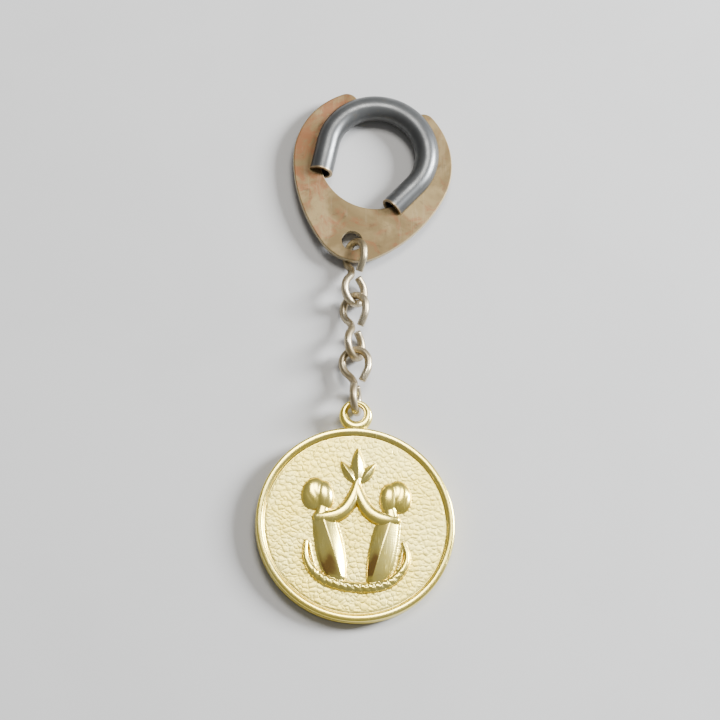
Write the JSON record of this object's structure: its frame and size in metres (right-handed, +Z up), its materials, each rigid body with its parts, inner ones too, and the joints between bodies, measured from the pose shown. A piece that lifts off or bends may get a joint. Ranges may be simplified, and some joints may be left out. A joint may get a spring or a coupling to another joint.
{
  "type": "medal key fob",
  "caption": "Souvenir key fob: tear-shaped clasp plate with a sliding slit ring, a short figure-eight chain and a round relief medal on a bail.",
  "frame": {"origin": "under the middle of the whole fob as it lies on a table, at table height", "axes": "+Z up, +Y from the medal towards the clasp, +X to the right seen from above"},
  "size_m": [0.0366, 0.1046, 0.0061],
  "materials": {
    "plate_brass": "tarnished, brushed",
    "ring_dark_metal": "dark glossy plating, worn at the ends",
    "chain_wire": "dull, scuffed",
    "medal_gold": "pale gold plate, bright relief on a pebbled field"
  },
  "bodies": {
    "clasp": {"clasp_plate": "plate_brass"},
    "ring": {"slide_ring": "ring_dark_metal"},
    "link_1": {"chain_link_1": "chain_wire"},
    "link_2": {"chain_link_2": "chain_wire"},
    "link_3": {"chain_link_3": "chain_wire"},
    "medal": {"medal_face": "medal_gold", "medal_back": "medal_gold"}
  },
  "joints": [
    {"name": "ring_slide", "type": "hinge", "parent": "clasp", "child": "ring", "pos_m": [0.00314, 0.03846, 0.0023], "axis": [0, 0, 1], "continuous": true},
    {"name": "eye_swing", "type": "hinge", "parent": "clasp", "child": "link_1", "pos_m": [-0.00038, 0.02107, 0.00271], "axis": [0, 0, 1], "range_deg": [-12, 18]},
    {"name": "link_2_swing", "type": "hinge", "parent": "link_1", "child": "link_2", "pos_m": [-0.00052, 0.00872, 0.00256], "axis": [-0.7986, 0.0024, 0.6018], "range_deg": [-110, 105]},
    {"name": "link_3_swing", "type": "hinge", "parent": "link_2", "child": "link_3", "pos_m": [-0.00038, -0.00064, 0.00266], "axis": [0.9563, 0.0196, 0.2916], "range_deg": [-25, 50]},
    {"name": "medal_swing", "type": "hinge", "parent": "link_3", "child": "medal", "pos_m": [-0.00028, -0.01299, 0.00316], "axis": [-0.2922, 0.0363, 0.9557], "range_deg": [-90, 50]}
  ]
}
